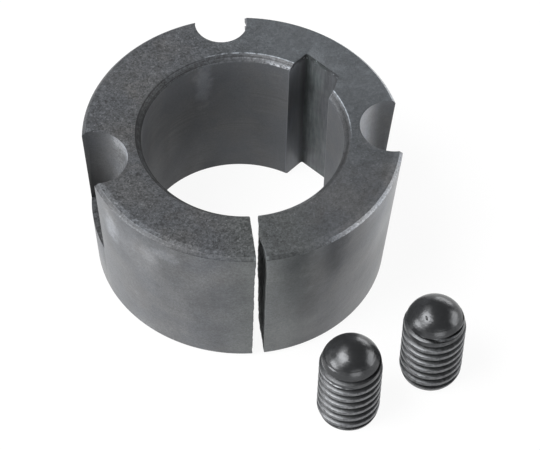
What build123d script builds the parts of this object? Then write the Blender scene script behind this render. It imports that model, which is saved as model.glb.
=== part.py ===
"""Split taper bush with its two locking set screws.

Sizes are in millimetres and degrees. The bore runs along Z and the origin is where its axis
meets the small-end face, so the bush and both screws stand on Z = 0. +Z points to the large
end, and +Y to the tapped jacking hole, which lies almost opposite the split.
"""
import os
from math import cos, radians, sin, tan
from build123d import *

# Taper body
large_end_diameter = 47.6
bush_length = 25.4
taper_half_angle = 4.0
rim_chamfer = 0.55
small_end_chamfer = 0.45

# Bore and keyway
bore_diameter = 30.0
bore_mouth_chamfer = 1.0
keyway_width = 8.0
keyway_depth = 3.3
keyway_corner_radius = 0.3
keyway_angle = 38.0

# Split through the wall: a little wider at the rim, and its two faces wander as broken ones do.
# Each row is how far a face strays from its half width, at even steps from the small end up
split_angle = -92.1
split_width_at_bore = 1.4
split_width_at_rim = 1.75
left_face_stray_at_bore = (-0.03, -0.05, -0.08, -0.13, -0.12)
left_face_stray_at_rim = (0.06, 0.05, 0.0, -0.04, 0.09)
right_face_stray_at_bore = (0.25, 0.14, -0.08, -0.08, -0.21)
right_face_stray_at_rim = (0.19, 0.06, 0.02, 0.0, -0.12)

# Half-round screw holes, on one circle in the rim of the large end
screw_circle_diameter = 44.7
jacking_hole_angle = 90.0
locking_hole_spread = 94.3
locking_hole_diameter = 9.95
locking_hole_depth = 15.2

# The jacking hole is plain, at the inside diameter of its thread
jacking_hole_diameter = 7.94

# Set screws, plain at the outside diameter of their thread: a domed end up, and the hexagon
# socket in the end they stand on
screw_diameter = 9.3
screw_length = 15.4
screw_end_chamfer = 0.4
screw_end_chamfer_height = 1.2
dome_radius = 4.5
dome_step_height = 0.3
hex_socket_width = 4.76
hex_socket_depth = 5.5

# Where the screws stand beside the bush: direction from its axis, and gap to its rim
left_screw_angle = -71.8
left_screw_gap = 6.63
right_screw_angle = -49.0
right_screw_gap = 8.65

# Worked out from the sizes above
large_end_radius = large_end_diameter / 2
small_end_radius = large_end_radius - bush_length * tan(radians(taper_half_angle))
bore_radius = bore_diameter / 2
keyway_floor_radius = bore_radius + keyway_depth
screw_radius = screw_diameter / 2
cut_margin = 1.0

os.makedirs("parts", exist_ok=True)


def polar_point(radius, angle):
    """Point in the XY plane at a radius and an angle from +X."""
    return (radius * cos(radians(angle)), radius * sin(radians(angle)))


def split_edge(offset, stray):
    """Points up one face of the split: its offset from the middle, and how far it strays."""
    step = bush_length / (len(stray) - 1)
    edge = [(offset + shift, index * step) for index, shift in enumerate(stray)]
    return [(edge[0][0], -cut_margin), *edge, (edge[-1][0], bush_length + cut_margin)]


# ---------------------------------------------------------------- bush
with BuildPart() as bush:
    # Turned body: straight bore, tapered outside, broken edges
    with BuildSketch(Plane.XZ):
        Polygon(
            (bore_radius, 0),
            (small_end_radius, 0),
            (large_end_radius, bush_length),
            (bore_radius, bush_length),
        )
    revolve(axis=Axis.Z)
    small_end_edges = bush.edges().group_by(Axis.Z)[0]
    bore_mouth_edge, rim_edge = bush.edges().group_by(Axis.Z)[-1].sort_by(SortBy.RADIUS)
    chamfer(small_end_edges, small_end_chamfer)
    chamfer(bore_mouth_edge, bore_mouth_chamfer)
    chamfer(rim_edge, rim_chamfer)

    # Keyway along the whole bore
    with BuildSketch(Plane.XY.rotated((0, 0, keyway_angle))) as keyway:
        with Locations((keyway_floor_radius / 2, 0)):
            Rectangle(keyway_floor_radius, keyway_width)
        fillet(keyway.vertices().group_by(Axis.X)[-1], keyway_corner_radius)
    extrude(amount=bush_length, mode=Mode.SUBTRACT)

    # Two plain half-holes that the locking screws push down on, with flat floors
    with BuildSketch(Plane.XY.offset(bush_length)):
        for side in (-1, 1):
            locking_angle = jacking_hole_angle + side * locking_hole_spread
            with Locations(polar_point(screw_circle_diameter / 2, locking_angle)):
                Circle(locking_hole_diameter / 2)
    extrude(amount=-locking_hole_depth, mode=Mode.SUBTRACT)

    # One half-hole right through, for the screw that jacks the bush out of its hub
    with BuildSketch(Plane.XY):
        with Locations(polar_point(screw_circle_diameter / 2, jacking_hole_angle)):
            Circle(jacking_hole_diameter / 2)
    extrude(amount=bush_length, mode=Mode.SUBTRACT)

    # The split, lofted from its outline inside the bore to the one outside the rim
    split_across = polar_point(1, split_angle + 90)
    split_outward = polar_point(1, split_angle)
    split_plane = Plane((0, 0, 0), x_dir=split_across, z_dir=split_outward)
    for radius, width, left_stray, right_stray in (
        (bore_radius - cut_margin, split_width_at_bore, left_face_stray_at_bore, right_face_stray_at_bore),
        (large_end_radius + cut_margin, split_width_at_rim, left_face_stray_at_rim, right_face_stray_at_rim),
    ):
        with BuildSketch(split_plane.offset(radius)):
            with BuildLine():
                left_edge = Spline(*split_edge(-width / 2, left_stray))
                right_edge = Spline(*split_edge(width / 2, right_stray))
                Line(left_edge @ 0, right_edge @ 0)
                Line(left_edge @ 1, right_edge @ 1)
            make_face()
    loft(mode=Mode.SUBTRACT)


# ---------------------------------------------------------------- set screws
with BuildPart() as set_screw:
    dome_centre_height = screw_length - dome_radius
    with BuildSketch(Plane.XZ):
        with BuildLine():
            shank_top = (screw_radius, dome_centre_height - dome_step_height)
            dome_edge = (dome_radius, dome_centre_height)
            dome_top = (0, screw_length)
            Polyline(
                dome_top,
                (0, 0),
                (screw_radius - screw_end_chamfer, 0),
                (screw_radius, screw_end_chamfer_height),
                shank_top,
                dome_edge,
            )
            RadiusArc(dome_edge, dome_top, -dome_radius)
        make_face()
    revolve(axis=Axis.Z)
    with BuildSketch(Plane.XY):
        RegularPolygon(hex_socket_width / 2, 6, major_radius=False)
    extrude(amount=hex_socket_depth, mode=Mode.SUBTRACT)


def stand_beside_bush(angle, gap):
    """Set the finished screw on the floor, clear of the bush's rim by the gap."""
    with Locations(polar_point(large_end_radius + gap + screw_radius, angle)):
        add(set_screw.part, rotation=(0, 0, angle))


with BuildPart() as set_screw_left:
    stand_beside_bush(left_screw_angle, left_screw_gap)

with BuildPart() as set_screw_right:
    stand_beside_bush(right_screw_angle, right_screw_gap)


bush.part.label = "bush"
set_screw_left.part.label = "set_screw_left"
set_screw_right.part.label = "set_screw_right"
export_step(bush.part, "parts/bush.step")
export_step(set_screw_left.part, "parts/set_screw_left.step")
export_step(set_screw_right.part, "parts/set_screw_right.step")
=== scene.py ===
"""The look of a split taper bush and the two set screws that stand beside it."""

from math import cos, pi, radians, sin, tan

import bmesh
import bpy
from mathutils import Matrix, Vector, noise


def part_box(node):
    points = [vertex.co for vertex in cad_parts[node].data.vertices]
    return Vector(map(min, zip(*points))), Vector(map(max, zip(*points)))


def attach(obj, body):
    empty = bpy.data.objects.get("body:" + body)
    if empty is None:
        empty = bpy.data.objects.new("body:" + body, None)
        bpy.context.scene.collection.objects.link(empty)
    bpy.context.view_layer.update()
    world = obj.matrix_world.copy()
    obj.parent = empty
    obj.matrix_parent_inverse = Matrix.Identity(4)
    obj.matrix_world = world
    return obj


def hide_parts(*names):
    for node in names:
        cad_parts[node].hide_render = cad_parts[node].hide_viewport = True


MM = 0.001

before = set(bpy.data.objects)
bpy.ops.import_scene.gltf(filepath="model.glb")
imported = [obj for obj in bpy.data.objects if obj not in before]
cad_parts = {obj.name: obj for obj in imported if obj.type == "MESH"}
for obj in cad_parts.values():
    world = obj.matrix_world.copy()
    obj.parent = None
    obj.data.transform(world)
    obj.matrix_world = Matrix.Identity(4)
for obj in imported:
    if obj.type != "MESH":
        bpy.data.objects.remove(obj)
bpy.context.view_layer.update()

# Bush, as the solid has it
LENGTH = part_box("bush")[1].z
LARGE_RADIUS = 23.8 * MM
TAPER = radians(4.0)
SMALL_RADIUS = LARGE_RADIUS - LENGTH * tan(TAPER)
RIM_CHAMFER = 0.55 * MM
FOOT_CHAMFER = 0.45 * MM
BORE_RADIUS = 15.0 * MM
BORE_CHAMFER = 1.0 * MM
KEYWAY_WIDTH = 8.0 * MM
KEYWAY_FLOOR = BORE_RADIUS + 3.3 * MM
KEYWAY_CORNER = 0.3 * MM
KEYWAY_ANGLE = radians(38.0)
SCREW_CIRCLE = 22.35 * MM
JACKING_ANGLE = radians(90.0)
LOCKING_SPREAD = radians(94.3)
LOCKING_RADIUS = 4.975 * MM
LOCKING_DEPTH = 15.2 * MM
JACKING_RADIUS = 3.97 * MM
SPLIT_ANGLE = radians(-92.1)
SPLIT_INNER = BORE_RADIUS - 1.0 * MM
SPLIT_OUTER = LARGE_RADIUS + 1.0 * MM
SPLIT_WIDTHS = (1.4 * MM, 1.75 * MM)
SPLIT_LEFT = ((-0.03, -0.05, -0.08, -0.13, -0.12), (0.06, 0.05, 0.0, -0.04, 0.09))
SPLIT_RIGHT = ((0.25, 0.14, -0.08, -0.08, -0.21), (0.19, 0.06, 0.02, 0.0, -0.12))
SPLIT_ROUGHNESS = 0.07 * MM
BURR_THICKNESS = 0.7 * MM
EDGE_ROUNDING = 0.10 * MM
EDGE_BEVEL = 0.07 * MM

# Thread of 16 turns to the inch, and the screws cut with it
PITCH = 25.4 / 16 * MM
SCREW_RADIUS = 4.645 * MM
SCREW_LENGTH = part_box("set_screw_left")[1].z
SCREW_DEPTH = 0.85 * MM
DOME_RADIUS = 4.5 * MM
END_CHAMFER = 0.4 * MM
END_CHAMFER_HEIGHT = 1.2 * MM
SOCKET_WIDTH = 4.76 * MM
SOCKET_DEPTH = 5.5 * MM

# Tap that cuts the jacking hole's thread
TAP_RADIUS = 4.7 * MM
TAP_DOME = 4.72 * MM
TAP_DEPTH = 0.8 * MM

# Fineness of the meshes
TURNED_STEPS = 360
HOLE_STEPS = 120
THREAD_STEPS = 120
SWEEP_STEPS = 96

# How far a cutter stands out of the bush
OUT = 3 * MM


# ---------------------------------------------------------------- mesh helpers
def mesh_piece(name, bm):
    """An object at the origin from a finished bmesh, with doubles merged and faces outwards."""
    bmesh.ops.remove_doubles(bm, verts=bm.verts, dist=1e-7)
    bmesh.ops.recalc_face_normals(bm, faces=bm.faces)
    mesh = bpy.data.meshes.new(name)
    bm.to_mesh(mesh)
    bm.free()
    piece = bpy.data.objects.new(name, mesh)
    bpy.context.scene.collection.objects.link(piece)
    return piece


def polar(radius, angle):
    return Vector((radius * cos(angle), radius * sin(angle)))


def rounded(corners, steps=4):
    """A closed outline whose corners, given as (x, y, radius), are rounded by an arc."""
    points = []
    for index, (x, y, radius) in enumerate(corners):
        here = Vector((x, y))
        before = (Vector(corners[index - 1][:2]) - here).normalized()
        after = (Vector(corners[(index + 1) % len(corners)][:2]) - here).normalized()
        if radius == 0:
            points.append(here)
            continue
        half = before.angle(after) / 2
        centre = here + (before + after).normalized() * radius / sin(half)
        start = here + before * radius / tan(half) - centre
        end = here + after * radius / tan(half) - centre
        turn = start.angle_signed(end)
        for step in range(steps + 1):
            spoke = start.copy()
            spoke.rotate(Matrix.Rotation(-turn * step / steps, 2))
            points.append(centre + spoke)
    return points


def lathe(name, outline, steps):
    """Turns a closed outline of (radius, height) round the Z axis."""
    bm = bmesh.new()
    rings = [
        [bm.verts.new((*polar(radius, 2 * pi * step / steps), height)) for radius, height in outline]
        for step in range(steps)
    ]
    for step, ring in enumerate(rings):
        following = rings[(step + 1) % steps]
        for index in range(len(outline)):
            other = (index + 1) % len(outline)
            bm.faces.new((ring[index], following[index], following[other], ring[other]))
    return mesh_piece(name, bm)


def prism(name, outline, low, high):
    """A straight-sided body on a closed outline, from one height to another."""
    bm = bmesh.new()
    foot = [bm.verts.new((*point, low)) for point in outline]
    head = [bm.verts.new((*point, high)) for point in outline]
    for index in range(len(outline)):
        other = (index + 1) % len(outline)
        bm.faces.new((foot[index], foot[other], head[other], head[index]))
    bm.faces.new(foot)
    bm.faces.new(head)
    return mesh_piece(name, bm)


def circle_at(centre, radius):
    return [centre + polar(radius, 2 * pi * step / HOLE_STEPS) for step in range(HOLE_STEPS)]


def finished(piece, smooth_angle=radians(32)):
    """The piece with its modifiers applied, smooth but for its real edges."""
    bpy.context.view_layer.update()
    evaluated = piece.evaluated_get(bpy.context.evaluated_depsgraph_get())
    mesh = bpy.data.meshes.new_from_object(evaluated)
    piece.modifiers.clear()
    piece.data = mesh
    mesh.name = piece.name
    mesh.shade_smooth()
    mesh.set_sharp_from_angle(angle=smooth_angle)
    return piece


def cut(piece, cutter):
    """Takes the cutter's form out of the piece."""
    modifier = piece.modifiers.new(cutter.name, "BOOLEAN")
    modifier.operation = "DIFFERENCE"
    modifier.solver = "MANIFOLD"
    modifier.object = cutter
    cutter.hide_render = True


# ---------------------------------------------------------------- node trees
class Sums:
    """Nodes and links of a tree, with its sums written as calls."""

    def node(self, kind, values=None, **settings):
        made = self.nodes.new(kind)
        for key, value in settings.items():
            setattr(made, key, value)
        for key, value in (values or {}).items():
            self.plug(value, made.inputs[key])
        return made

    def plug(self, value, socket):
        if isinstance(value, bpy.types.NodeSocket):
            self.links.new(value, socket)
        else:
            socket.default_value = value

    def sum(self, operation, *values):
        made = self.nodes.new("ShaderNodeMath")
        made.operation = operation
        for value, socket in zip(values, made.inputs):
            self.plug(value, socket)
        return made.outputs[0]

    def step(self, value, low, high):
        """0 below low and 1 above high, or the other way round where low is the greater."""
        made = self.node("ShaderNodeMapRange", {"Value": value}, interpolation_type="SMOOTHSTEP")
        rising = isinstance(low, bpy.types.NodeSocket) or isinstance(high, bpy.types.NodeSocket) or low < high
        self.plug(low if rising else high, made.inputs["From Min"])
        self.plug(high if rising else low, made.inputs["From Max"])
        made.inputs["To Min"].default_value = 0.0 if rising else 1.0
        made.inputs["To Max"].default_value = 1.0 if rising else 0.0
        return made.outputs["Result"]


class Tree(Sums):
    """A geometry tree with named sizes."""

    def __init__(self, name):
        self.group = bpy.data.node_groups.new(name, "GeometryNodeTree")
        self.nodes = self.group.nodes
        self.links = self.group.links
        self.output = self.nodes.new("NodeGroupOutput")
        self.group.interface.new_socket("Geometry", in_out="OUTPUT", socket_type="NodeSocketGeometry")

    def size(self, name, kind="NodeSocketFloat"):
        self.group.interface.new_socket(name, in_out="INPUT", socket_type=kind)

    def start(self):
        self.sizes = self.nodes.new("NodeGroupInput").outputs


class Finish(Sums):
    """A material whose patterns are laid out in millimetres."""

    def __init__(self, name):
        self.material = bpy.data.materials.new(name)
        self.material.use_nodes = True
        self.nodes = self.material.node_tree.nodes
        self.links = self.material.node_tree.links
        self.shader = self.nodes["Principled BSDF"]
        self.place = self.scaled(self.node("ShaderNodeTexCoord").outputs["Object"], 1 / MM)

    def scaled(self, vector, factor):
        made = self.node("ShaderNodeVectorMath", operation="SCALE")
        self.plug(vector, made.inputs[0])
        self.plug(factor, made.inputs["Scale"])
        return made.outputs[0]

    def parts(self, vector):
        made = self.node("ShaderNodeSeparateXYZ", {"Vector": vector})
        return made.outputs["X"], made.outputs["Y"], made.outputs["Z"]

    def vector(self, x, y, z):
        return self.node("ShaderNodeCombineXYZ", {"X": x, "Y": y, "Z": z}).outputs[0]

    def distance(self, x, y):
        return self.sum("SQRT", self.sum("ADD", self.sum("MULTIPLY", x, x), self.sum("MULTIPLY", y, y)))

    def grain(self, size, detail=3.0, roughness=0.55, place=None, warp=0.0):
        """Noise about 0.5 whose lumps are about this many millimetres across."""
        spot = self.place if place is None else place
        made = self.node(
            "ShaderNodeTexNoise",
            {"Vector": spot, "Scale": 1.0 / size, "Detail": detail, "Roughness": roughness},
        )
        made.inputs["Distortion"].default_value = warp
        return made.outputs["Fac"]

    def specks(self, size, share, place=None):
        """Small round specks in about this share of the cells, each cell this many millimetres across."""
        spot = self.place if place is None else place
        cells = self.node("ShaderNodeTexVoronoi", {"Vector": spot, "Scale": 1.0 / size})
        chosen = self.step(self.parts(cells.outputs["Color"])[0], 1.0 - share - 0.02, 1.0 - share + 0.02)
        return self.sum("MULTIPLY", self.step(cells.outputs["Distance"], 0.34, 0.16), chosen)

    def around(self, spot, reach, ragged):
        """A soft patch about a spot: 1 in its middle, 0 beyond its reach, and as ragged as this noise."""
        away = self.node("ShaderNodeVectorMath", operation="SUBTRACT")
        self.plug(self.place, away.inputs[0])
        away.inputs[1].default_value = spot
        scaled = self.node("ShaderNodeVectorMath", operation="DIVIDE")
        self.plug(away.outputs[0], scaled.inputs[0])
        scaled.inputs[1].default_value = reach
        length = self.node("ShaderNodeVectorMath", operation="LENGTH")
        self.plug(scaled.outputs[0], length.inputs[0])
        unevenness = self.sum("MULTIPLY", self.sum("SUBTRACT", ragged, 0.5), 1.2)
        return self.step(self.sum("ADD", length.outputs["Value"], unevenness), 1.0, 0.2)

    def mix(self, share, first, second):
        made = self.node("ShaderNodeMix", data_type="FLOAT")
        for value, socket in zip((share, first, second), (made.inputs[0], made.inputs[2], made.inputs[3])):
            self.plug(value, socket)
        return made.outputs[0]

    def tint(self, share, first, second):
        made = self.node("ShaderNodeMix", data_type="RGBA")
        for value, socket in zip((share, first, second), (made.inputs[0], made.inputs[6], made.inputs[7])):
            self.plug(value, socket)
        return made.outputs[2]

    def spread(self, value, amount):
        """1 plus the part of a noise about 0.5, times this amount."""
        return self.sum("ADD", self.sum("MULTIPLY", self.sum("SUBTRACT", value, 0.5), amount), 1.0)

    def product(self, *values):
        made = values[0]
        for value in values[1:]:
            made = self.sum("MULTIPLY", made, value)
        return made

    def bump(self, height, distance, before=None):
        """Relief of this height field, where a height of 1 is this many millimetres."""
        made = self.node("ShaderNodeBump", {"Height": height, "Distance": distance * MM})
        made.inputs["Strength"].default_value = 1.0
        if before is not None:
            self.plug(before, made.inputs["Normal"])
        return made.outputs["Normal"]


# ---------------------------------------------------------------- threads
def thread_tree():
    """Tree of a threaded body standing on Z = 0: its thread runs from the foot into the dome."""
    tree = Tree("threaded_body")
    for name in ("Radius", "Pitch", "Depth", "Root", "Crest", "Length", "Dome", "Chamfer", "Chamfer Height"):
        tree.size(name)
    tree.size("Socket Width")
    tree.size("Socket Depth")
    tree.size("Around", "NodeSocketInt")
    tree.size("Per Pitch", "NodeSocketInt")
    tree.size("Place", "NodeSocketVector")
    tree.size("Turned")
    tree.size("Material", "NodeSocketMaterial")
    tree.start()
    size = tree.sizes
    m = tree.sum

    dome_centre = m("SUBTRACT", size["Length"], size["Dome"])
    plain_from = m("MULTIPLY", size["Dome"], 0.62)
    cap_height = m("ADD", dome_centre, plain_from)

    def patch(rows):
        """A flat grid of cells, and its two shares: round the body, and along it."""
        columns = m("ADD", size["Around"], 1)
        grid = tree.node(
            "GeometryNodeMeshGrid",
            {"Size X": 1.0, "Size Y": 1.0, "Vertices X": columns, "Vertices Y": rows},
        )
        position = tree.node("GeometryNodeInputPosition").outputs[0]
        place = tree.node("ShaderNodeSeparateXYZ", {"Vector": position})
        return grid.outputs["Mesh"], m("ADD", place.outputs["X"], 0.5), m("ADD", place.outputs["Y"], 0.5)

    def moved(mesh, turn, radius, height):
        angle = m("MULTIPLY", turn, 2 * pi)
        x = m("MULTIPLY", radius, m("COSINE", angle))
        y = m("MULTIPLY", radius, m("SINE", angle))
        position = tree.node("ShaderNodeCombineXYZ", {"X": x, "Y": y, "Z": height})
        placed = tree.node("GeometryNodeSetPosition", {"Geometry": mesh, "Position": position.outputs[0]})
        return placed.outputs[0]

    def surface_radius(turn, height):
        """Radius of the threaded side at a turn and a height, cut down by the dome and the foot's chamfer."""
        lead = m("SUBTRACT", m("DIVIDE", height, size["Pitch"]), turn)
        phase = m("FRACT", lead)
        from_crest = m("MULTIPLY", m("ABSOLUTE", m("SUBTRACT", phase, 0.5)), 2.0)
        flank_end = m("SUBTRACT", 1.0, size["Crest"])
        groove = tree.node(
            "ShaderNodeMapRange",
            {
                "Value": from_crest,
                "From Min": size["Root"],
                "From Max": flank_end,
                "To Min": 1.0,
                "To Max": 0.0,
            },
            interpolation_type="SMOOTHSTEP",
        ).outputs[0]
        threaded = m("SUBTRACT", size["Radius"], m("MULTIPLY", size["Depth"], groove))
        above = m("MAXIMUM", m("SUBTRACT", height, dome_centre), 0.0)
        domed = m("SQRT", m("SUBTRACT", m("POWER", size["Dome"], 2.0), m("POWER", above, 2.0)))
        over_dome = m("GREATER_THAN", height, dome_centre)
        below_dome = m("MULTIPLY", size["Radius"], m("SUBTRACT", 1.0, over_dome))
        top = m("ADD", m("MULTIPLY", domed, over_dome), below_dome)
        left_of_chamfer = m("SUBTRACT", 1.0, m("DIVIDE", height, size["Chamfer Height"]))
        foot = m("MULTIPLY", m("MAXIMUM", left_of_chamfer, 0.0), size["Chamfer"])
        return m("MINIMUM", m("MINIMUM", threaded, top), m("SUBTRACT", size["Radius"], foot))

    # Side: the rows of the grid climb with the thread, and stop at the foot and below the dome's top
    pitches = m("DIVIDE", m("ADD", cap_height, size["Pitch"]), size["Pitch"])
    rows = m("ADD", m("CEIL", m("MULTIPLY", pitches, size["Per Pitch"])), 1)
    side, turn, share = patch(rows)
    row = m("ROUND", m("MULTIPLY", share, m("SUBTRACT", rows, 1)))
    climb = m("MULTIPLY", m("DIVIDE", row, size["Per Pitch"]), size["Pitch"])
    height = m("ADD", m("SUBTRACT", climb, size["Pitch"]), m("MULTIPLY", turn, size["Pitch"]))
    height = m("MINIMUM", m("MAXIMUM", height, 0.0), cap_height)
    side = moved(side, turn, surface_radius(turn, height), height)

    # Top of the dome
    cap, turn, share = patch(17)
    polar_angle = m("MULTIPLY", share, m("ARCCOSINE", m("DIVIDE", plain_from, size["Dome"])))
    cap = moved(
        cap,
        turn,
        m("MULTIPLY", size["Dome"], m("SINE", polar_angle)),
        m("ADD", dome_centre, m("MULTIPLY", size["Dome"], m("COSINE", polar_angle))),
    )

    # Foot with its hexagon socket: foot's edge, socket's mouth, wall, floor and drill point
    foot, turn, share = patch(6)
    sixth = m("SUBTRACT", m("FRACT", m("MULTIPLY", turn, 6.0)), 0.5)
    half_width = m("MULTIPLY", size["Socket Width"], 0.5)
    hexagon = m("DIVIDE", half_width, m("COSINE", m("MULTIPLY", sixth, pi / 3)))
    mouth = m("MAXIMUM", hexagon, m("MULTIPLY", half_width, 1.12))
    row = m("ROUND", m("MULTIPLY", share, 5.0))
    floor = size["Socket Depth"]
    radii = tree.node("GeometryNodeIndexSwitch", data_type="FLOAT")
    heights = tree.node("GeometryNodeIndexSwitch", data_type="FLOAT")
    steps = (
        (surface_radius(turn, 0.0), 0.0),
        (mouth, 0.0),
        (hexagon, m("MULTIPLY", half_width, 0.12)),
        (hexagon, floor),
        (m("MULTIPLY", half_width, 0.9), floor),
        (0.0, m("ADD", floor, m("MULTIPLY", half_width, 0.5))),
    )
    for switch, part in ((radii, 0), (heights, 1)):
        while len(switch.index_switch_items) < len(steps):
            switch.index_switch_items.new()
        tree.plug(row, switch.inputs["Index"])
        for number, step in enumerate(steps):
            tree.plug(step[part], switch.inputs[number + 1])
    foot = moved(foot, turn, radii.outputs[0], heights.outputs[0])

    joined = tree.nodes.new("GeometryNodeJoinGeometry")
    for part in (side, cap, foot):
        tree.links.new(part, joined.inputs[0])
    merged = tree.node("GeometryNodeMergeByDistance", {"Geometry": joined.outputs[0], "Distance": 0.002 * MM})
    marked = tree.node(
        "GeometryNodeStoreNamedAttribute",
        {"Geometry": merged.outputs[0], "Name": "turned_place"},
        data_type="FLOAT_VECTOR",
    )
    tree.links.new(tree.node("GeometryNodeInputPosition").outputs[0], marked.inputs["Value"])
    rotation = tree.node("ShaderNodeCombineXYZ", {"Z": size["Turned"]})
    placed = tree.node(
        "GeometryNodeTransform",
        {"Geometry": marked.outputs[0], "Translation": size["Place"], "Rotation": rotation.outputs[0]},
    )
    whole = tree.node("GeometryNodeRealizeInstances", {"Geometry": placed.outputs[0]})
    painted = tree.node(
        "GeometryNodeSetMaterial",
        {"Geometry": whole.outputs[0], "Material": size["Material"]},
    )
    tree.links.new(painted.outputs[0], tree.output.inputs[0])
    return tree.group


def threaded_body(name, tree, **sizes):
    """A plain mesh from the thread's tree with these sizes."""
    piece = bpy.data.objects.new(name, bpy.data.meshes.new(name))
    bpy.context.scene.collection.objects.link(piece)
    modifier = piece.modifiers.new("thread", "NODES")
    modifier.node_group = tree
    for item in tree.interface.items_tree:
        key = item.name.lower().replace(" ", "_")
        if item.in_out == "INPUT" and key in sizes:
            modifier[item.identifier] = sizes[key]
    piece = finished(piece)
    bm = bmesh.new()
    bm.from_mesh(piece.data)
    bmesh.ops.recalc_face_normals(bm, faces=bm.faces)
    bm.to_mesh(piece.data)
    bm.free()
    return piece


# ---------------------------------------------------------------- bush
def bush_blank():
    """The turned blank: bore, taper, chamfers and slightly rounded edges."""
    under_rim = LARGE_RADIUS - RIM_CHAMFER * tan(TAPER)
    soft = EDGE_ROUNDING
    outline = rounded(
        [
            (BORE_RADIUS + FOOT_CHAMFER, 0, soft),
            (SMALL_RADIUS - FOOT_CHAMFER, 0, soft),
            (SMALL_RADIUS + FOOT_CHAMFER * tan(TAPER), FOOT_CHAMFER, soft),
            (under_rim, LENGTH - RIM_CHAMFER, soft),
            (LARGE_RADIUS - RIM_CHAMFER, LENGTH, soft),
            (BORE_RADIUS + BORE_CHAMFER, LENGTH, soft),
            (BORE_RADIUS, LENGTH - BORE_CHAMFER, soft),
            (BORE_RADIUS, FOOT_CHAMFER, soft),
        ]
    )
    return lathe("bush_body", outline, TURNED_STEPS)


def keyway_cutters():
    """The keyway's full form, and near the large end the form that leaves a burr in one corner."""
    half = KEYWAY_WIDTH / 2
    inside = BORE_RADIUS * 0.6
    far_side = [(KEYWAY_FLOOR, half, KEYWAY_CORNER), (inside, half, 0)]
    full = rounded([(inside, -half, 0), (KEYWAY_FLOOR, -half, KEYWAY_CORNER), *far_side])
    # Edge of the burr, out from the axis and across, in millimetres
    burr = [
        (15.7, -4.0), (16.1, -3.68), (16.4, -3.62), (16.9, -3.3),
        (17.2, -3.22), (17.6, -2.92), (17.9, -2.85), (18.24, -2.62),
    ]
    clipped = rounded([(inside, -half, 0), (KEYWAY_FLOOR, -2.45 * MM, 0), *far_side])
    clipped[1:1] = [Vector(point) * MM for point in burr]
    for outline in (full, clipped):
        for point in outline:
            point.rotate(Matrix.Rotation(KEYWAY_ANGLE, 2))
    under = LENGTH - BURR_THICKNESS
    return [
        prism("keyway_broach", full, -OUT, under),
        prism("keyway_mouth", clipped, under - 0.01 * MM, LENGTH + OUT),
    ]


def wander(strays, reach, height):
    """Offset of a split face from its half width, between its strays at the bore and at the rim."""
    place = min(max(height / LENGTH, 0), 1) * (len(strays[0]) - 1)
    step = min(int(place), len(strays[0]) - 2)
    part = place - step
    part = part * part * (3 - 2 * part)
    at_bore, at_rim = (row[step] * (1 - part) + row[step + 1] * part for row in strays)
    return (at_bore * (1 - reach) + at_rim * reach) * MM


def lip(along, height):
    """How far metal smeared over the split's right face stands out, near the large end."""
    reaches = (15.0, 16.2, 17.9, 19.1, 20.2, 20.8, 21.6, 22.9)
    widths = (0.0, 0.18, 0.38, 0.54, 0.46, 0.30, 0.14, 0.0)
    place = along / MM
    for first, last, start, end in zip(reaches, reaches[1:], widths, widths[1:]):
        if first <= place <= last:
            share = (place - first) / (last - first)
            fade = min(max((height - (LENGTH - 1.3 * MM)) / (0.9 * MM), 0.0), 1.0)
            return (start * (1 - share) + end * share) * fade * MM
    return 0.0


def split_cutter():
    """The slot left where the bush was split, with its two faces rough."""
    out = Vector((cos(SPLIT_ANGLE), sin(SPLIT_ANGLE), 0))
    across = Vector((-out.y, out.x, 0))
    rows, columns = 170, 62
    bm = bmesh.new()
    walls = []
    for side, strays in ((-1, SPLIT_LEFT), (1, SPLIT_RIGHT)):
        wall = []
        for row in range(rows + 1):
            height = -OUT + (LENGTH + 2 * OUT) * row / rows
            line = []
            for column in range(columns + 1):
                reach = column / columns
                along = SPLIT_INNER * (1 - reach) + SPLIT_OUTER * reach
                half = (SPLIT_WIDTHS[0] * (1 - reach) + SPLIT_WIDTHS[1] * reach) / 2
                spot = Vector((along / MM * 0.9, side * 7.0, height / MM * 0.9))
                rough = noise.fractal(spot, 0.8, 2.1, 5) * SPLIT_ROUGHNESS
                offset = side * half + wander(strays, reach, height) + rough
                if side > 0:
                    offset -= lip(along, height)
                line.append(bm.verts.new(out * along + across * offset + Vector((0, 0, height))))
            wall.append(line)
        walls.append(wall)
    left, right = walls
    for wall in walls:
        for row in range(rows):
            for column in range(columns):
                near, far = wall[row], wall[row + 1]
                bm.faces.new((near[column], near[column + 1], far[column + 1], far[column]))
    for row in range(rows):
        for column in (0, columns):
            near, far = left[row][column], right[row][column]
            bm.faces.new((near, left[row + 1][column], right[row + 1][column], far))
    for column in range(columns):
        for row in (0, rows):
            near, far = left[row][column], right[row][column]
            bm.faces.new((near, left[row][column + 1], right[row][column + 1], far))
    return mesh_piece("split_cutter", bm)


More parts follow.
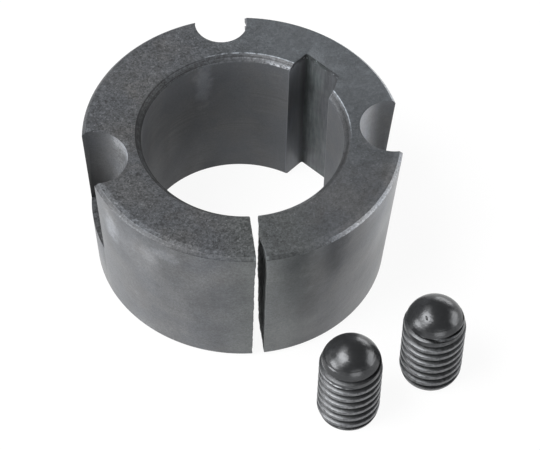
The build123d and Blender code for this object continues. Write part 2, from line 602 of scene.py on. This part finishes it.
def make_bush(tree, finish):
    bush = bush_blank()
    tools = keyway_cutters()
    for name, side in (("left", 1), ("right", -1)):
        centre = polar(SCREW_CIRCLE, JACKING_ANGLE + side * LOCKING_SPREAD)
        hole = circle_at(centre, LOCKING_RADIUS)
        tools.append(prism("locking_drill_" + name, hole, LENGTH - LOCKING_DEPTH, LENGTH + OUT))
    jacking = polar(SCREW_CIRCLE, JACKING_ANGLE)
    tools.append(prism("jacking_drill", circle_at(jacking, JACKING_RADIUS), -OUT, LENGTH + OUT))
    tools.append(split_cutter())
    for tool in tools:
        cut(bush, tool)
    edges = bush.modifiers.new("soft_edges", "BEVEL")
    edges.limit_method = "ANGLE"
    edges.angle_limit = radians(38)
    edges.width = EDGE_BEVEL
    edges.segments = 2
    tap = threaded_body(
        "jacking_tap", tree, radius=TAP_RADIUS, pitch=PITCH, depth=TAP_DEPTH, root=0.45, crest=0.12,
        length=LENGTH + 4 * OUT, dome=TAP_DOME, chamfer=0.0, chamfer_height=1 * MM, socket_width=3 * MM,
        socket_depth=1 * MM, around=THREAD_STEPS, per_pitch=16, place=(*jacking, -1.5 * OUT), turned=2.61,
        material=finish,
    )
    cut(bush, tap)
    shading = bush.modifiers.new("even_shading", "WEIGHTED_NORMAL")
    shading.weight = 100
    shading.keep_sharp = True
    bush = finished(bush)
    for tool in (*tools, tap):
        bpy.data.objects.remove(tool)
    bush.data.materials.clear()
    bush.data.materials.append(finish)
    return bush


# ---------------------------------------------------------------- finishes
class Regions:
    """Where each surface of the bush lies, as shares from 0 to 1, found from its own sizes."""

    def __init__(self, finish):
        f = finish
        m = f.sum
        mm = 1 / MM
        x, y, z = f.parts(f.place)
        self.x, self.y, self.z = x, y, z
        self.radius = f.distance(x, y)
        length, bore, large = LENGTH * mm, BORE_RADIUS * mm, LARGE_RADIUS * mm

        # How far a point lies under the large end, inside the taper and outside the bore
        self.under = m("SUBTRACT", length, z)
        self.inside = m("SUBTRACT", m("SUBTRACT", large, m("MULTIPLY", self.under, tan(TAPER))), self.radius)
        beyond_bore = m("SUBTRACT", self.radius, bore)

        self.end = f.step(self.under, 0.08, 0.02)
        side = m("SUBTRACT", 1.0, self.end)
        shallow = f.step(self.under, RIM_CHAMFER * mm + 0.06, RIM_CHAMFER * mm - 0.03)
        self.taper = f.product(side, f.step(self.inside, 0.30, 0.12))
        near_outside = f.step(self.inside, RIM_CHAMFER * mm + 0.3, RIM_CHAMFER * mm + 0.1)
        self.rim = f.product(side, shallow, near_outside)
        self.bore = f.product(side, f.step(beyond_bore, 0.10, 0.03))
        self.mouth = f.product(
            side,
            f.step(self.under, 1.06, 0.96),
            f.step(beyond_bore, 1.08, 1.0),
            f.step(beyond_bore, 0.02, 0.06),
        )

        # Keyway, in its own directions: out from the axis, and across
        out = m("ADD", m("MULTIPLY", x, cos(KEYWAY_ANGLE)), m("MULTIPLY", y, sin(KEYWAY_ANGLE)))
        across = m("SUBTRACT", m("MULTIPLY", y, cos(KEYWAY_ANGLE)), m("MULTIPLY", x, sin(KEYWAY_ANGLE)))
        half, floor = KEYWAY_WIDTH / 2 * mm, KEYWAY_FLOOR * mm
        aside = m("ABSOLUTE", across)
        beyond_axis = f.step(out, bore * 0.9, bore * 0.97)
        in_slot = f.product(side, f.step(aside, half + 0.12, half + 0.05), beyond_axis)
        above_floor = f.step(out, floor + 0.3, floor + 0.1)
        self.key_floor = f.product(in_slot, f.step(out, floor - 0.25, floor - 0.1), above_floor)
        self.key_wall = f.product(in_slot, f.step(aside, half - 0.12, half - 0.03), above_floor)
        self.from_corner = m("ADD", m("SUBTRACT", floor, out), m("SUBTRACT", half, aside))

        # Half-round holes for the set screws: wall and flat floor of each
        self.holes = []
        for side_sign in (1, -1):
            centre = polar(SCREW_CIRCLE * mm, JACKING_ANGLE + side_sign * LOCKING_SPREAD)
            reach = f.distance(m("SUBTRACT", x, centre.x), m("SUBTRACT", y, centre.y))
            hole, depth = LOCKING_RADIUS * mm, LOCKING_DEPTH * mm
            above_ledge = f.step(self.under, depth + 0.05, depth - 0.1)
            wall = f.product(side, f.step(reach, hole + 0.08, hole + 0.03), above_ledge)
            from_ledge = m("ABSOLUTE", m("SUBTRACT", self.under, depth))
            ledge = f.product(f.step(reach, hole + 0.02, hole - 0.1), f.step(from_ledge, 0.1, 0.04))
            self.holes.append((wall, ledge))

        # Split faces
        split_out = m("ADD", m("MULTIPLY", x, cos(SPLIT_ANGLE)), m("MULTIPLY", y, sin(SPLIT_ANGLE)))
        split_across = m("SUBTRACT", m("MULTIPLY", y, cos(SPLIT_ANGLE)), m("MULTIPLY", x, sin(SPLIT_ANGLE)))
        in_gap = f.step(m("ABSOLUTE", split_across), 1.15, 1.0)
        self.split = f.product(side, f.step(split_out, 10.0, 11.0), in_gap, f.step(self.inside, 0.02, 0.15))


# Painted light on the taper: lighter patches are painted highlights and darker ones a painted reflection of
# the screws; middle and reach in millimetres, and how much lighter it is there
TAPER_LIGHT_PATCHES = (
    ((-20.95, -10.4, 19.6), (1.9, 2.5, 4.2), 1.2),
    ((-19.4, -13.3, 20.5), (3.6, 3.6, 5.0), 0.3),
    ((-13.9, -19.1, 22.3), (3.2, 2.8, 2.2), 0.5),
    ((-16.2, -17.0, 20.2), (1.9, 1.9, 3.0), 0.35),
    ((8.8, -21.7, 19.0), (4.6, 3.6, 7.0), -0.30),
    ((6.6, -21.8, 10.5), (2.6, 2.6, 5.5), -0.20),
    ((12.6, -18.6, 8.6), (3.0, 3.0, 3.4), 0.10),
)


def cast_iron():
    """Fine cast iron under a dark phosphate coat: grainy on the faced end, satin and clouded on the taper."""
    f = Finish("phosphated_iron")
    m = f.sum
    at = Regions(f)
    x, y, z = at.x, at.y, at.z

    # Patterns
    fine = f.grain(0.25, 2.0, 0.7)
    crystals = f.grain(0.5, 4.0, 0.75, warp=0.8)
    lumps = f.grain(1.6, 3.0, 0.6, warp=0.5)
    clouds = f.grain(6.0, 3.0, 0.5)
    patches = f.grain(7.0, 2.0, 0.45, place=f.vector(x, y, m("MULTIPLY", z, 0.55)), warp=0.6)
    lathe_marks = f.grain(0.34, 2.0, 0.6, place=f.vector(at.radius, m("MULTIPLY", x, 0.02), z))
    draw_marks = f.grain(0.5, 3.0, 0.6, place=f.vector(x, y, m("MULTIPLY", z, 0.12)))
    specks = f.specks(0.34, 0.10)

    # The coat is grainiest on the left, and smoother on the right and towards the back there
    coarse = f.mix(f.step(x, 10.0, -4.0), f.mix(f.step(y, -4.0, 4.0), 0.5, 0.36), 1.0)

    # Tone of each surface
    coarse_grit = f.spread(crystals, m("MULTIPLY", coarse, 3.2))
    grit = f.product(coarse_grit, f.spread(fine, m("MULTIPLY", coarse, 2.2)))
    towards_back = f.mix(f.step(y, 2.0, 16.0), 0.92, 1.04)
    lighter_right = m("ADD", 1.0, f.product(f.step(x, 2.0, 8.0), f.step(y, -4.0, 2.0), 0.22))
    faced = f.product(
        m("MAXIMUM", grit, 0.25), f.spread(lumps, 0.9), f.spread(clouds, 0.4), towards_back, lighter_right
    )
    to_the_sides = f.step(m("ABSOLUTE", x), 3.0, 10.0)
    rubbed = f.product(f.step(at.radius, 22.3, 22.6), to_the_sides, f.step(y, 8.0, -2.0))
    faced = f.product(faced, f.mix(rubbed, 1.0, f.mix(f.step(x, -6.0, -16.0), 1.35, 1.7)))
    drawn = f.product(
        f.spread(clouds, 0.9),
        f.spread(patches, 1.1),
        f.spread(crystals, m("MULTIPLY", coarse, 1.3)),
        f.spread(fine, m("MULTIPLY", coarse, 1.1)),
    )
    # Painted light on the taper: lighter at its far left and upper right, where it catches the lamps and
    # reflects the floor at a grazing angle, and in painted patches
    right_light = f.product(f.step(x, 14.0, 18.5), f.step(z, 9.0, 17.0), 0.8)
    edge_light = m("ADD", f.product(f.step(x, -14.0, -19.0), 0.14), right_light)
    taper_light = m("ADD", 0.94, edge_light)
    for spot, reach, lighter in TAPER_LIGHT_PATCHES:
        taper_light = m("ADD", taper_light, f.product(f.around(spot, reach, lumps), lighter))
    drawn = f.product(drawn, taper_light)
    # Painted light in the bore: a painted streak of light on its far wall, and painted shade on its left side
    bore_light_streak = f.around((-3.9, 14.45, 20.8), (1.9, 1.6, 6.5), lumps)
    turned = f.spread(lathe_marks, f.step(clouds, 0.45, 0.7))
    bore_light = m("ADD", f.mix(f.step(x, -3.0, -12.0), 1.0, 0.86), f.product(bore_light_streak, 0.9))
    bored = f.product(turned, f.spread(clouds, 0.6), f.spread(fine, 0.6), bore_light)
    tone = f.mix(at.end, f.product(0.088, bored), f.product(0.057, faced))
    tone = f.mix(at.taper, tone, f.product(0.088, drawn))

    # Rim: grainy like the end and dark beside the split, with painted shade on the left, painted light on the
    # right and a painted highlight at the back right
    beside_split = f.product(f.step(x, -1.0, 0.0), f.step(x, 6.0, 3.5), f.step(y, 0.0, -10.0))
    rim_highlight = f.product(f.step(x, 8.0, 14.0), f.step(y, -4.0, 2.0))
    rim_tone = f.mix(f.step(x, -4.0, -14.0), f.mix(f.step(x, 8.0, 14.0), 0.066, 0.24), 0.05)
    rim_tone = f.mix(rim_highlight, f.mix(beside_split, rim_tone, 0.040), 0.34)
    tone = f.mix(at.rim, tone, f.product(rim_tone, f.spread(crystals, 2.4), f.spread(fine, 1.5)))

    # Mouth of the bore: torn by the tool beside the keyway, painted light on the right where light falls on
    # it, and painted black as shade on the left
    torn_and_lit_right = f.mix(f.step(y, -2.0, 6.0), 0.03, 0.05)
    torn_and_lit = f.mix(f.step(x, 8.0, 10.0), f.mix(f.step(x, 0.0, 6.0), 0.046, 0.066), torn_and_lit_right)
    mouth_shade = f.mix(f.step(y, 10.0, 2.0), 0.05, f.mix(f.step(lumps, 0.38, 0.6), 0.008, 0.028))
    bright = f.mix(f.step(x, -9.0, 4.0), mouth_shade, torn_and_lit)
    tone = f.mix(at.mouth, tone, f.product(bright, f.spread(lathe_marks, 3.0), f.spread(crystals, 3.4)))
    at_outer = f.step(m("ABSOLUTE", m("SUBTRACT", at.radius, 16.02)), 0.11, 0.04)
    outer_line = f.product(at_outer, f.step(at.under, 0.2, 0.1), f.step(x, -5.0, 0.0), f.step(y, -4.0, 2.0))
    at_inner = f.step(m("ABSOLUTE", m("SUBTRACT", at.radius, 15.15)), 0.4, 0.05)
    behind = f.product(f.step(x, 4.0, 8.0), f.step(y, 7.0, 10.0))
    inner_line = f.product(at_inner, at.mouth, behind, f.step(crystals, 0.4, 0.6))
    broken = f.step(m("ADD", lumps, m("MULTIPLY", x, 0.03)), 0.42, 0.62)
    lines = f.product(m("MAXIMUM", outer_line, inner_line), broken)
    tone = f.mix(lines, tone, f.product(0.24, f.spread(crystals, 3.4)))

    # Keyway: drawn streaks, a wall painted lighter to stand in for light the lamps don't bring to it, and
    # painted shade along its inner corners
    corner = f.step(at.from_corner, 1.5, 0.15)
    streaks = f.product(f.spread(draw_marks, 1.8), f.spread(clouds, 0.8), f.spread(lumps, 0.7))
    tone = f.mix(at.key_wall, tone, f.product(0.15, f.spread(draw_marks, 0.5)))
    tone = f.mix(at.key_floor, tone, f.product(0.1, streaks))
    in_keyway = m("MAXIMUM", at.key_wall, at.key_floor)
    # Painted shade: the keyway is darker along its inner corners
    tone = f.mix(f.product(corner, in_keyway), tone, m("MULTIPLY", tone, 0.6))
    chipped = f.product(in_keyway, f.step(m("ADD", at.under, m("MULTIPLY", lumps, 2.4)), 2.2, 1.5))
    tone = f.mix(chipped, tone, f.product(0.045, f.spread(crystals, 3.4)))
    flecks = f.product(f.specks(0.55, 0.3), f.step(at.under, 2.6, 0.3), in_keyway)
    tone = f.mix(flecks, tone, 0.22)

    # Half-round holes: painted lighter towards the axis and darker deeper down, as painted light and shade,
    # with a speckled painted lit crescent near the top of the left one, and black and rough on the floor
    (left_wall, left_ledge), (right_wall, right_ledge) = at.holes
    left_tone = f.product(f.mix(f.step(at.radius, 21.8, 19.2), 0.046, 0.074), f.step(at.under, 16.0, 2.0))
    lit_crescent = f.step(m("ADD", at.radius, m("MULTIPLY", lumps, 1.6)), 20.6, 18.9)
    lit_crescent_tone = f.mix(f.step(at.under, 3.4, 0.3), 0.078, 0.19)
    left_tone = f.mix(lit_crescent, left_tone, f.product(lit_crescent_tone, f.spread(crystals, 2.6)))
    tone = f.mix(left_wall, tone, f.product(left_tone, f.spread(lumps, 0.5), f.spread(fine, 1.0)))
    right_tone = f.mix(f.step(at.radius, 21.9, 18.4), 0.085, 0.30)
    tone = f.mix(right_wall, tone, f.product(right_tone, f.spread(lumps, 0.35), f.spread(fine, 0.6)))
    ledges = m("MAXIMUM", left_ledge, right_ledge)
    tone = f.mix(ledges, tone, f.product(0.036, m("MAXIMUM", f.spread(crystals, 6.0), 0.25)))
    tone = f.mix(at.split, tone, f.product(0.12, f.spread(crystals, 2.0), f.spread(lumps, 1.0)))
    tone = f.mix(f.product(specks, f.mix(at.end, 0.04, 0.5), coarse), tone, 0.2)

    cool = f.tint(f.step(clouds, 0.35, 0.65), (0.94, 1.0, 1.10, 1), (0.97, 1.0, 1.05, 1))
    warm = f.product(f.step(f.grain(3.4, 2.0, 0.5), 0.52, 0.72), f.mix(at.end, 0.2, 0.35))
    green = f.product(f.step(m("ABSOLUTE", m("SUBTRACT", x, 1.0)), 9.0, 3.0), f.step(y, -12.0, -17.0), 0.55)
    hue = f.tint(green, f.tint(warm, cool, (1.04, 1.0, 0.97, 1)), (0.93, 1.02, 1.0, 1))
    hue = f.tint(f.product(at.end, f.step(x, -8.0, 4.0), f.step(y, -12.0, -4.0)), hue, (0.91, 1.0, 1.10, 1))
    hue = f.tint(f.product(at.key_floor, f.step(clouds, 0.4, 0.6)), hue, (0.90, 1.03, 1.06, 1))
    f.plug(f.scaled(hue, m("MAXIMUM", tone, 0.012)), f.shader.inputs["Base Color"])

    # Gloss
    satin = f.product(f.mix(at.taper, 0.56, 0.34), f.spread(patches, 0.5), f.spread(crystals, 0.3))
    dull = m("MAXIMUM", m("MAXIMUM", f.product(corner, in_keyway), at.split), ledges)
    dull = m("MAXIMUM", dull, f.product(at.mouth, f.step(x, 2.0, -6.0)))
    f.plug(f.mix(dull, satin, 0.85), f.shader.inputs["Roughness"])
    f.shader.inputs["Metallic"].default_value = 0.3

    # Relief
    rough = f.mix(m("MAXIMUM", at.end, at.rim), f.mix(at.split, 0.35, 2.2), 1.0)
    relief = f.bump(f.product(m("ADD", crystals, m("MULTIPLY", fine, 0.3)), rough), 0.05)
    marked = m("ADD", m("MULTIPLY", at.bore, 0.35), m("MULTIPLY", at.mouth, 3.0))
    relief = f.bump(f.product(lathe_marks, marked), 0.02, relief)
    f.plug(f.bump(clouds, 0.15, relief), f.shader.inputs["Normal"])
    return f.material


# Tool marks on the screws, in millimetres
GROOVE_HEIGHT = 12.55
NICK = (22.6, -29.6, 14.75)


def screw_steel():
    """Black oxide on turned steel: smooth rings on the dome, and crests rubbed a little brighter."""
    f = Finish("black_oxide_steel")
    m = f.sum
    own = f.scaled(f.node("ShaderNodeAttribute", attribute_name="turned_place").outputs["Vector"], 1 / MM)
    x, y, z = f.parts(own)
    radius = f.distance(x, y)
    above = m("SUBTRACT", z, (SCREW_LENGTH - DOME_RADIUS) / MM)
    dome = f.step(above, 0.6, 1.4)
    side = m("SUBTRACT", 1.0, dome)
    outside = SCREW_RADIUS / MM
    crest = f.product(f.step(radius, outside - 0.22, outside - 0.06), side)
    fine = f.grain(0.14, 2.0, 0.6)
    crystals = f.grain(0.5, 3.0, 0.65, warp=0.5)
    rings = f.grain(0.22, 1.0, 0.5, place=f.vector(radius, 0.0, m("MULTIPLY", z, 0.4)))
    plain_tone = f.mix(dome, 0.052, 0.043)
    speckle = f.spread(crystals, f.mix(dome, 0.9, 0.3))
    tone = f.product(plain_tone, speckle, f.spread(fine, f.mix(dome, 0.8, 0.5)))
    rough_side = f.product(f.step(x, 1.0, -3.0), side)
    tone = f.mix(rough_side, tone, f.product(0.06, f.spread(crystals, 2.6), f.spread(fine, 1.6)))
    sharp = f.product(f.step(radius, outside - 0.07, outside - 0.02), side)
    tone = f.mix(crest, tone, f.product(0.075, f.spread(crystals, 1.3)))
    tone = f.mix(sharp, tone, f.product(0.12, f.spread(crystals, 3.0)))

    # Tool marks: a groove under the dome, painted dark as shade with a painted highlight line in it, and a
    # nick on one dome
    uneven = m("ADD", z, m("MULTIPLY", f.grain(5.0, 1.0, 0.4), 0.8))
    from_groove = m("ABSOLUTE", m("SUBTRACT", uneven, GROOVE_HEIGHT))
    groove = f.step(from_groove, 0.30, 0.14)
    tone = f.mix(groove, tone, 0.016)
    tone = f.mix(f.step(from_groove, 0.10, 0.04), tone, f.product(0.16, f.spread(crystals, 3.0)))
    nick = f.around(NICK, (0.2, 0.55, 0.25), fine)
    tone = f.mix(nick, tone, 0.015)
    f.plug(f.scaled((0.97, 1.0, 1.05), m("MAXIMUM", tone, 0.006)), f.shader.inputs["Base Color"])
    gloss = f.mix(dome, f.mix(rough_side, 0.36, 0.42), 0.24)
    f.plug(f.product(gloss, f.spread(crystals, f.mix(dome, 0.5, 0.15))), f.shader.inputs["Roughness"])
    f.shader.inputs["Metallic"].default_value = 0.6
    relief = f.bump(f.product(rings, dome), 0.02)
    relief = f.bump(m("SUBTRACT", 1.0, m("MAXIMUM", groove, nick)), 0.06, relief)
    f.plug(f.bump(m("ADD", crystals, m("MULTIPLY", fine, 0.3)), 0.02, relief), f.shader.inputs["Normal"])
    return f.material


# ---------------------------------------------------------------- build
iron = cast_iron()
steel = screw_steel()
thread = thread_tree()

bush = make_bush(thread, iron)
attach(bush, "root")
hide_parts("bush")

# Each screw's node, its name here, and how far it is turned about its axis
SCREWS = (("set_screw_left", "locking_screw_left", -1.86), ("set_screw_right", "locking_screw_right", 2.79))

for node, name, turned in SCREWS:
    low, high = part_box(node)
    screw = threaded_body(
        name, thread, radius=SCREW_RADIUS, pitch=PITCH, depth=SCREW_DEPTH, root=0.14, crest=0.3,
        length=SCREW_LENGTH, dome=DOME_RADIUS, chamfer=END_CHAMFER, chamfer_height=END_CHAMFER_HEIGHT,
        socket_width=SOCKET_WIDTH, socket_depth=SOCKET_DEPTH, around=THREAD_STEPS, per_pitch=18,
        place=((low.x + high.x) / 2, (low.y + high.y) / 2, 0.0), turned=turned, material=steel,
    )
    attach(screw, "root")
    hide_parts(node)


# ---------------------------------------------------------------- floor, light and camera
def white_paper():
    """White to the eye and in reflections, and a matt white that takes light and shadow."""
    material = bpy.data.materials.new("white_paper")
    material.use_nodes = True
    nodes, links = material.node_tree.nodes, material.node_tree.links
    nodes.clear()
    paper = nodes.new("ShaderNodeBsdfDiffuse")
    paper.inputs["Color"].default_value = (0.9, 0.9, 0.9, 1)
    glow = nodes.new("ShaderNodeEmission")
    glow.inputs["Strength"].default_value = 1.0
    mix = nodes.new("ShaderNodeMixShader")
    ray = nodes.new("ShaderNodeLightPath")
    seen = ray.outputs["Is Camera Ray"]
    for kind in ("Is Glossy Ray", "Is Transmission Ray"):
        either = nodes.new("ShaderNodeMath")
        either.operation = "MAXIMUM"
        links.new(seen, either.inputs[0])
        links.new(ray.outputs[kind], either.inputs[1])
        seen = either.outputs[0]
    share = nodes.new("ShaderNodeMath")
    share.operation = "MULTIPLY"
    share.inputs[1].default_value = GLOW_SHARE
    links.new(seen, share.inputs[0])
    links.new(share.outputs[0], mix.inputs["Fac"])
    links.new(paper.outputs[0], mix.inputs[1])
    links.new(glow.outputs[0], mix.inputs[2])
    out = nodes.new("ShaderNodeOutputMaterial")
    links.new(mix.outputs[0], out.inputs["Surface"])
    return material


def studio_sweep():
    """A round paper floor that curves up into a low wall."""
    profile = [(reach * FLOOR_REACH / 8, 0.0) for reach in range(1, 9)]
    for step in range(1, 13):
        angle = step / 12 * pi / 2
        profile.append((FLOOR_REACH + SWEEP * sin(angle), SWEEP * (1 - cos(angle))))
    profile.append((FLOOR_REACH + SWEEP, WALL_TOP))
    bm = bmesh.new()
    drop = -0.02 * MM
    centre = bm.verts.new((0, 0, drop))
    rings = []
    for step in range(SWEEP_STEPS):
        angle = 2 * pi * step / SWEEP_STEPS
        rings.append([bm.verts.new((*polar(radius, angle), height + drop)) for radius, height in profile])
    for step, ring in enumerate(rings):
        following = rings[(step + 1) % SWEEP_STEPS]
        bm.faces.new((centre, ring[0], following[0]))
        for index in range(len(profile) - 1):
            bm.faces.new((ring[index], ring[index + 1], following[index + 1], following[index]))
    mesh = bpy.data.meshes.new("studio_sweep")
    bm.to_mesh(mesh)
    bm.free()
    mesh.shade_smooth()
    sweep = bpy.data.objects.new("studio_sweep", mesh)
    bpy.context.scene.collection.objects.link(sweep)
    return sweep


def softbox(name, azimuth, elevation, width, height, power):
    """A rectangular lamp that faces the object from this direction, in degrees."""
    lamp = bpy.data.lights.new(name, "AREA")
    lamp.shape = "RECTANGLE"
    lamp.size, lamp.size_y = width, height
    lamp.energy = power
    holder = bpy.data.objects.new(name, lamp)
    across, up = radians(azimuth), radians(elevation)
    place = Vector((cos(across) * cos(up), sin(across) * cos(up), sin(up))) * LAMP_DISTANCE
    holder.location = place
    holder.rotation_euler = place.to_track_quat("Z", "Y").to_euler()
    bpy.context.scene.collection.objects.link(holder)


# Paper, in metres but for its share of glow
GLOW_SHARE = 0.93
FLOOR_REACH = 2.4
SWEEP = 0.5
WALL_TOP = 0.75
LAMP_DISTANCE = 1.2
ROOM_LIGHT = 0.03

# Camera: focal length, place, and its turn about the upright, its tilt from straight down and its roll
FOCAL_LENGTH = 180.19
CAMERA_PLACE = (-42.97 * MM, -256.77 * MM, 327.83 * MM)
CAMERA_TURN = radians(-10.48)
CAMERA_TILT = radians(90 - 51.21)
CAMERA_ROLL = radians(1.92)

sweep = studio_sweep()
sweep.data.materials.append(white_paper())

world = bpy.data.worlds.new("studio")
bpy.context.scene.world = world
world.use_nodes = True
world.node_tree.nodes["Background"].inputs["Color"].default_value = (1, 1, 1, 1)
world.node_tree.nodes["Background"].inputs["Strength"].default_value = ROOM_LIGHT

# Lamps: direction in degrees, width and height in metres, and power in watts
softbox("high_left", -172, 57, 0.9, 0.6, 20.5)
softbox("middle_left", -165, 34, 0.8, 0.45, 4.5)
softbox("low_left", -172, 14, 0.6, 0.35, 8.0)
softbox("low_front", -82, 13, 0.7, 0.35, 3.0)
softbox("low_right", -2, 18, 0.9, 0.55, 8.0)
softbox("low_back", 58, 13, 0.8, 0.4, 4.5)
softbox("back_right", 130, 55, 0.5, 0.5, 1.5)

camera_data = bpy.data.cameras.new("camera")
camera_data.sensor_width = 36.0
camera_data.lens = FOCAL_LENGTH
camera_data.clip_start = 0.01
camera = bpy.data.objects.new("camera", camera_data)
bpy.context.scene.collection.objects.link(camera)
camera.matrix_world = (
    Matrix.Translation(CAMERA_PLACE)
    @ Matrix.Rotation(CAMERA_TURN, 4, "Z")
    @ Matrix.Rotation(CAMERA_TILT, 4, "X")
    @ Matrix.Rotation(CAMERA_ROLL, 4, "Z")
)
bpy.context.scene.camera = camera
bpy.context.scene.view_settings.view_transform = "Standard"
